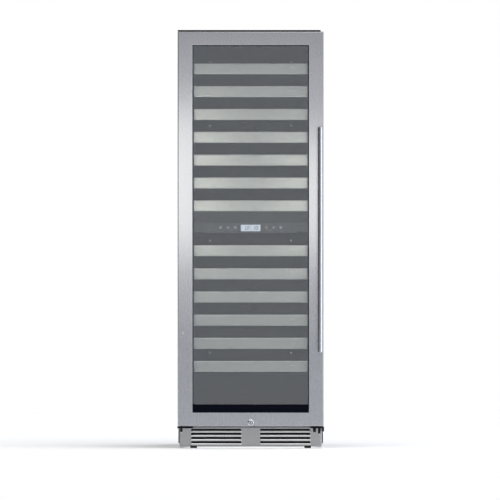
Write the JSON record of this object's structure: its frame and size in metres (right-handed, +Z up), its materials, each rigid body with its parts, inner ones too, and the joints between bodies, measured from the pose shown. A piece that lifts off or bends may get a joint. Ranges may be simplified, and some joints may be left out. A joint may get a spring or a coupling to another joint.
{
  "type": "wine cooler",
  "caption": "Tall two-zone wine cooler with a framed glass door, bar handle, sliding bottle shelves with steel fronts, control panel and slotted kick plate.",
  "frame": {"origin": "on the floor, under the centre of the whole object's box with the door shut", "axes": "+Z up; -Y out of the front, through the door; +X towards the handle side"},
  "size_m": [0.599, 0.73, 1.706],
  "materials": {
    "black_steel": "satin",
    "zinc_steel": "satin",
    "foam": "matte",
    "liner": "matte",
    "panel": "satin",
    "display": "gloss",
    "fan_plastic": "matte",
    "condenser_metal": "satin",
    "stainless": "satin",
    "handle_steel": "satin",
    "kick_steel": "satin",
    "shelf_steel": "satin",
    "chrome": "polished",
    "door_plastic": "matte",
    "outer_glass": "polished",
    "inner_glass": "polished",
    "spacer_black": "satin",
    "gasket": "matte",
    "hinge_black": "satin",
    "foot_rubber": "matte",
    "rack": "satin"
  },
  "bodies": {
    "cabinet": {"case_wrapper": "black_steel", "back_panel": "zinc_steel", "base_plate": "zinc_steel", "insulation_foam": "foam", "inner_liner": "liner", "zone_divider": "liner", "control_panel": "panel", "display_window": "display", "air_duct_upper": "liner", "air_duct_lower": "liner", "compressor": "black_steel", "condenser": "condenser_metal", "upper_hinge_bracket": "hinge_black", "lower_hinge_bracket": "hinge_black", "door_support_bracket": "hinge_black", "kick_plate": "kick_steel"},
    "door": {"door_frame": "stainless", "door_core": "door_plastic", "outer_glass": "outer_glass", "inner_glass": "inner_glass", "glass_spacer": "spacer_black", "door_gasket": "gasket", "handle_bar": "handle_steel", "handle_post_upper": "handle_steel", "handle_post_lower": "handle_steel", "lock_housing": "chrome"},
    "lock": {"lock_barrel": "chrome"},
    "shelf_01": {"shelf_01_rack": "rack", "shelf_01_fascia": "shelf_steel"},
    "shelf_02": {"shelf_02_rack": "rack", "shelf_02_fascia": "shelf_steel"},
    "shelf_03": {"shelf_03_rack": "rack", "shelf_03_fascia": "shelf_steel"},
    "shelf_04": {"shelf_04_rack": "rack", "shelf_04_fascia": "shelf_steel"},
    "shelf_05": {"shelf_05_rack": "rack", "shelf_05_fascia": "shelf_steel"},
    "shelf_06": {"shelf_06_rack": "rack", "shelf_06_fascia": "shelf_steel"},
    "shelf_07": {"shelf_07_rack": "rack", "shelf_07_fascia": "shelf_steel"},
    "shelf_08": {"shelf_08_rack": "rack", "shelf_08_fascia": "shelf_steel"},
    "shelf_09": {"shelf_09_rack": "rack", "shelf_09_fascia": "shelf_steel"},
    "shelf_10": {"shelf_10_rack": "rack", "shelf_10_fascia": "shelf_steel"},
    "shelf_11": {"shelf_11_rack": "rack", "shelf_11_fascia": "shelf_steel"},
    "shelf_12": {"shelf_12_rack": "rack", "shelf_12_fascia": "shelf_steel"},
    "shelf_13": {"shelf_13_rack": "rack", "shelf_13_fascia": "shelf_steel"},
    "foot_front_left": {"foot_front_left": "foot_rubber"},
    "foot_front_right": {"foot_front_right": "foot_rubber"},
    "foot_rear_left": {"foot_rear_left": "foot_rubber"},
    "foot_rear_right": {"foot_rear_right": "foot_rubber"},
    "upper_fan": {"evaporator_fan_upper": "fan_plastic"},
    "lower_fan": {"evaporator_fan_lower": "fan_plastic"},
    "rear_fan": {"condenser_fan": "fan_plastic"}
  },
  "joints": [
    {"name": "door_swing", "type": "hinge", "parent": "cabinet", "child": "door", "pos_m": [-0.283, -0.293, 0.091], "axis": [0, 0, -1], "range_deg": [0, 110]},
    {"name": "lock_turn", "type": "hinge", "parent": "door", "child": "lock", "pos_m": [0, -0.315, 0.1055], "axis": [0, 1, 0], "range_deg": [0, 90]},
    {"name": "shelf_01_slide", "type": "slide", "parent": "cabinet", "child": "shelf_01", "axis": [0, -1, 0], "range_m": [0, 0.35]},
    {"name": "shelf_02_slide", "type": "slide", "parent": "cabinet", "child": "shelf_02", "axis": [0, -1, 0], "range_m": [0, 0.35]},
    {"name": "shelf_03_slide", "type": "slide", "parent": "cabinet", "child": "shelf_03", "axis": [0, -1, 0], "range_m": [0, 0.35]},
    {"name": "shelf_04_slide", "type": "slide", "parent": "cabinet", "child": "shelf_04", "axis": [0, -1, 0], "range_m": [0, 0.35]},
    {"name": "shelf_05_slide", "type": "slide", "parent": "cabinet", "child": "shelf_05", "axis": [0, -1, 0], "range_m": [0, 0.35]},
    {"name": "shelf_06_slide", "type": "slide", "parent": "cabinet", "child": "shelf_06", "axis": [0, -1, 0], "range_m": [0, 0.35]},
    {"name": "shelf_07_slide", "type": "slide", "parent": "cabinet", "child": "shelf_07", "axis": [0, -1, 0], "range_m": [0, 0.35]},
    {"name": "shelf_08_slide", "type": "slide", "parent": "cabinet", "child": "shelf_08", "axis": [0, -1, 0], "range_m": [0, 0.35]},
    {"name": "shelf_09_slide", "type": "slide", "parent": "cabinet", "child": "shelf_09", "axis": [0, -1, 0], "range_m": [0, 0.35]},
    {"name": "shelf_10_slide", "type": "slide", "parent": "cabinet", "child": "shelf_10", "axis": [0, -1, 0], "range_m": [0, 0.35]},
    {"name": "shelf_11_slide", "type": "slide", "parent": "cabinet", "child": "shelf_11", "axis": [0, -1, 0], "range_m": [0, 0.35]},
    {"name": "shelf_12_slide", "type": "slide", "parent": "cabinet", "child": "shelf_12", "axis": [0, -1, 0], "range_m": [0, 0.35]},
    {"name": "shelf_13_slide", "type": "slide", "parent": "cabinet", "child": "shelf_13", "axis": [0, -1, 0], "range_m": [0, 0.35]},
    {"name": "foot_front_left_screw", "type": "slide", "parent": "cabinet", "child": "foot_front_left", "axis": [0, 0, -1], "range_m": [0, 0.015]},
    {"name": "foot_front_right_screw", "type": "slide", "parent": "cabinet", "child": "foot_front_right", "axis": [0, 0, -1], "range_m": [0, 0.015]},
    {"name": "foot_rear_left_screw", "type": "slide", "parent": "cabinet", "child": "foot_rear_left", "axis": [0, 0, -1], "range_m": [0, 0.015]},
    {"name": "foot_rear_right_screw", "type": "slide", "parent": "cabinet", "child": "foot_rear_right", "axis": [0, 0, -1], "range_m": [0, 0.015]},
    {"name": "upper_fan_spin", "type": "hinge", "parent": "cabinet", "child": "upper_fan", "pos_m": [0, 0.2665, 1.33], "axis": [0, 1, 0], "continuous": true},
    {"name": "lower_fan_spin", "type": "hinge", "parent": "cabinet", "child": "lower_fan", "pos_m": [0, 0.2665, 0.6], "axis": [0, 1, 0], "continuous": true},
    {"name": "rear_fan_spin", "type": "hinge", "parent": "cabinet", "child": "rear_fan", "pos_m": [0.145, 0.262, 0.14], "axis": [0, 1, 0], "continuous": true}
  ],
  "couplings": [
    {"joint": "shelf_01_slide", "follows": "door_swing", "m_per_rad": 0.06},
    {"joint": "shelf_02_slide", "follows": "door_swing", "m_per_rad": 0.06},
    {"joint": "shelf_03_slide", "follows": "door_swing", "m_per_rad": 0.06},
    {"joint": "shelf_04_slide", "follows": "door_swing", "m_per_rad": 0.06},
    {"joint": "shelf_05_slide", "follows": "door_swing", "m_per_rad": 0.06},
    {"joint": "shelf_06_slide", "follows": "door_swing", "m_per_rad": 0.06},
    {"joint": "shelf_07_slide", "follows": "door_swing", "m_per_rad": 0.06},
    {"joint": "shelf_08_slide", "follows": "door_swing", "m_per_rad": 0.06},
    {"joint": "shelf_09_slide", "follows": "door_swing", "m_per_rad": 0.06},
    {"joint": "shelf_10_slide", "follows": "door_swing", "m_per_rad": 0.06},
    {"joint": "shelf_11_slide", "follows": "door_swing", "m_per_rad": 0.06},
    {"joint": "shelf_12_slide", "follows": "door_swing", "m_per_rad": 0.06},
    {"joint": "shelf_13_slide", "follows": "door_swing", "m_per_rad": 0.06}
  ]
}
